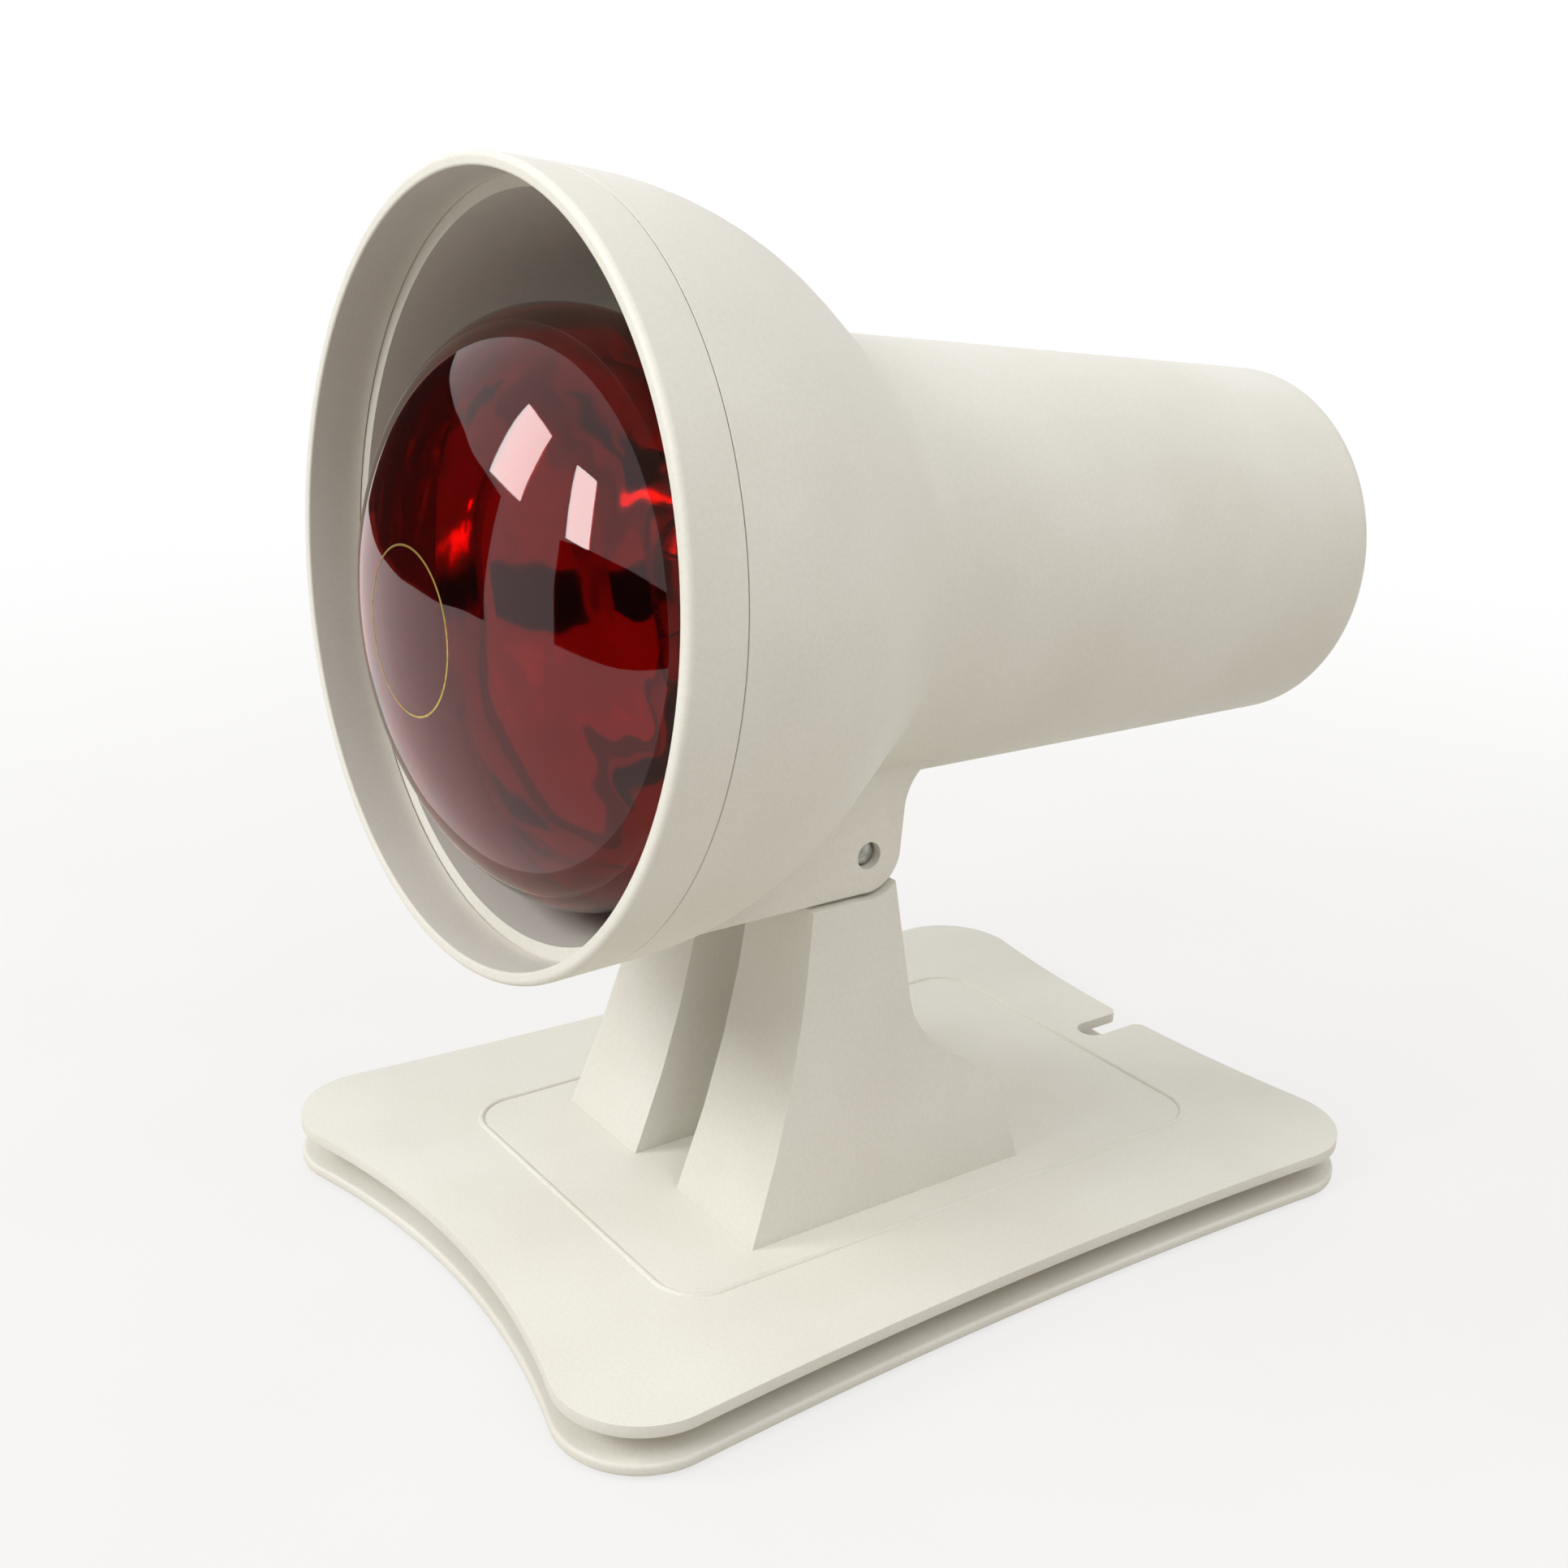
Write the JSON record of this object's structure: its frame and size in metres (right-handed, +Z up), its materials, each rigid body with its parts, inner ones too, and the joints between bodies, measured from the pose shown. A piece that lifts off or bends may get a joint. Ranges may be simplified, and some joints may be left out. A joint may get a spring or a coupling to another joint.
{
  "type": "infrared heat therapy lamp",
  "caption": "Table infrared heat lamp with a ruby reflector bulb in an off-white plastic hood that tilts on a pylon stand.",
  "frame": {"origin": "point on the standing plane under the middle of the base, on the lamp's plane of symmetry", "axes": "+Z up, -Y out of the head's mouth, +X to the left of someone who faces the mouth"},
  "size_m": [0.1238, 0.1843, 0.1842],
  "materials": {
    "ivory": "fine matt moulded off-white plastic",
    "iron": "plain blackened plate",
    "rubber": "matt grey rubber",
    "fibre": "pressed brown fibre",
    "ceramic": null,
    "brass": "bright pressed brass",
    "ruby_glass": "clear ruby glass, mirrored inside behind its widest place",
    "aluminium": "bright drawn",
    "black_glass": "black",
    "tin": "dull solder",
    "clear_glass": "clear",
    "tungsten": "grey wire",
    "lead_insulation": "blue sleeve",
    "steel": "zinc plated"
  },
  "bodies": {
    "stand": {"ballast_weight": "iron", "base_bottom_plate": "ivory", "base_screw_1": "steel", "base_screw_2": "steel", "base_screw_3": "steel", "base_screw_4": "steel", "base_top_plate": "ivory", "cord_winding_core": "ivory", "hinge_rod": "steel", "hinge_washer_1": "fibre", "hinge_washer_2": "fibre", "left_pylon": "ivory", "pylon_screw_1": "steel", "pylon_screw_2": "steel", "pylon_screw_3": "steel", "pylon_screw_4": "steel", "right_pylon": "ivory", "rubber_foot_1": "rubber", "rubber_foot_2": "rubber", "rubber_foot_3": "rubber", "rubber_foot_4": "rubber"},
    "head": {"bracket_screw_1": "steel", "bracket_screw_2": "steel", "centre_contact": "brass", "clamp_screw_1": "steel", "clamp_screw_2": "steel", "cord_clamp": "ivory", "cord_gland": "rubber", "front_ring": "ivory", "holder_screw_1": "steel", "holder_screw_2": "steel", "hood_shell": "ivory", "inner_lead_1": "lead_insulation", "inner_lead_2": "lead_insulation", "lampholder_body": "ceramic", "lampholder_bracket": "steel", "lampholder_shell": "brass", "terminal_block_1": "brass", "terminal_block_2": "brass", "terminal_screw_1": "steel", "terminal_screw_2": "steel"},
    "bulb": {"bulb_cap": "aluminium", "bulb_glass": "ruby_glass", "bulb_stem": "clear_glass", "cap_contact": "tin", "cap_insulator": "black_glass", "filament": "tungsten", "support_wire_1": "tungsten", "support_wire_2": "tungsten", "support_wire_3": "tungsten", "support_wire_4": "tungsten", "support_wire_5": "tungsten"}
  },
  "joints": [
    {"name": "head_tilt", "type": "hinge", "parent": "stand", "child": "head", "pos_m": [0, -0.0119, 0.0736], "axis": [-1, 0, 0], "range_deg": [0, 35]},
    {"name": "bulb_turn", "type": "hinge", "parent": "head", "child": "bulb", "pos_m": [0, 0.0682, 0.11378], "axis": [0, -0.9999, 0.0122], "range_deg": [0, 720]}
  ]
}
